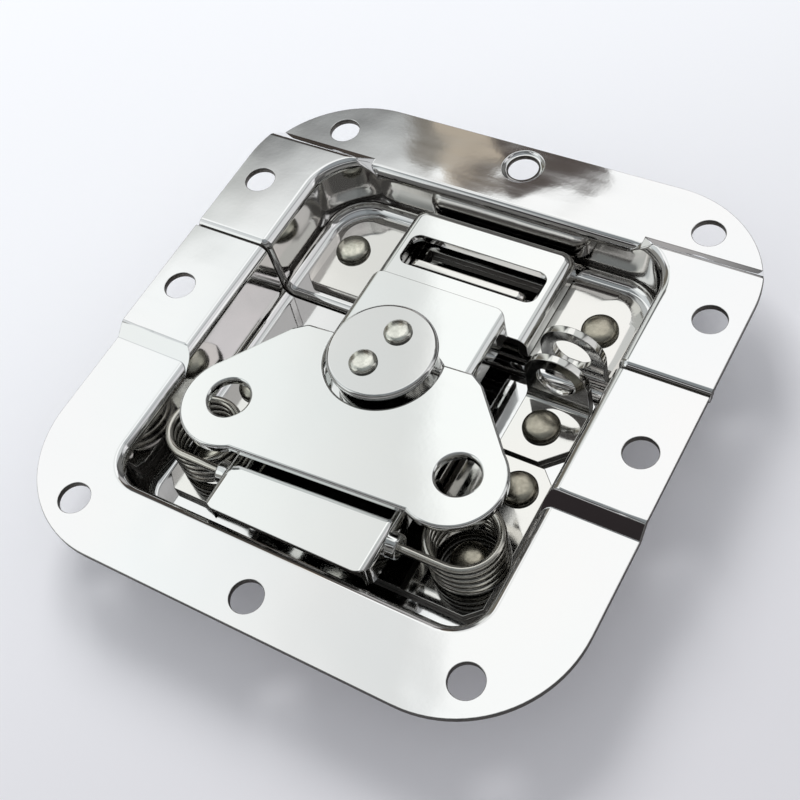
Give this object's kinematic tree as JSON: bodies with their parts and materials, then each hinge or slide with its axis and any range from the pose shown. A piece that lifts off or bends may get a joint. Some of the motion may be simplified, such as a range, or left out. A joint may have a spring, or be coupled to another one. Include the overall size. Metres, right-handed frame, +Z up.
{
  "type": "recessed butterfly twist latch",
  "caption": "Recessed butterfly latch for a case edge: pressed latch and keeper dishes, a fold-up wing that twists a cam drum to draw a slotted tongue over the strike.",
  "frame": {"origin": "bottom centre of the whole latch, on the plane the dish floor rests on", "axes": "+Z up out of the recess, +Y from the latch dish towards the keeper dish, +X towards the padlock ears"},
  "size_m": [0.104, 0.1082, 0.0214],
  "materials": {
    "plated_sheet": "bright plated pressed steel sheet",
    "plated_plate": "bright plated steel plate",
    "bright_plate": "mirror bright plated steel",
    "bright_cap": "mirror bright plated steel",
    "turned_steel": "plated turned steel",
    "rivet_steel": "dull nickel-coloured rivet",
    "spring_wire": "bright drawn spring wire"
  },
  "bodies": {
    "base": {"latch_dish": "plated_sheet", "keeper_dish": "plated_sheet", "spring_plate": "plated_plate", "ear_bracket": "plated_plate", "strike_plate": "plated_plate", "spring_left": "spring_wire", "spring_right": "spring_wire", "spring_rivet_left": "rivet_steel", "spring_rivet_right": "rivet_steel", "plate_rivet_left": "rivet_steel", "plate_rivet_right": "rivet_steel", "strike_rivet_left": "rivet_steel", "strike_rivet_right": "rivet_steel", "bracket_rivet": "rivet_steel"},
    "carrier": {"carrier": "bright_plate"},
    "drum": {"drum": "turned_steel", "drum_washer": "turned_steel", "cap_disc": "bright_cap", "cap_rivet_rear": "rivet_steel", "cap_rivet_front": "rivet_steel"},
    "wing": {"wing": "bright_plate"},
    "tongue": {"draw_tongue": "bright_plate"}
  },
  "joints": [
    {"name": "carrier_lift", "type": "hinge", "parent": "base", "child": "carrier", "pos_m": [0, -0.03053, 0.0116], "axis": [1, 0, 0], "range_deg": [0, 25]},
    {"name": "drum_twist", "type": "hinge", "parent": "carrier", "child": "drum", "pos_m": [0, -0.00252, 0.016], "axis": [0, 0, 1], "range_deg": [0, 180]},
    {"name": "wing_fold", "type": "hinge", "parent": "drum", "child": "wing", "pos_m": [-0.00004, -0.00183, 0.0174], "axis": [-0.9986, -0.0523, 0], "range_deg": [0, 90]},
    {"name": "tongue_draw", "type": "slide", "parent": "carrier", "child": "tongue", "axis": [0, 1, 0], "range_m": [-0.005, 0]}
  ],
  "couplings": [
    {"joint": "tongue_draw", "follows": "drum_twist", "m_per_rad": -0.00159}
  ]
}
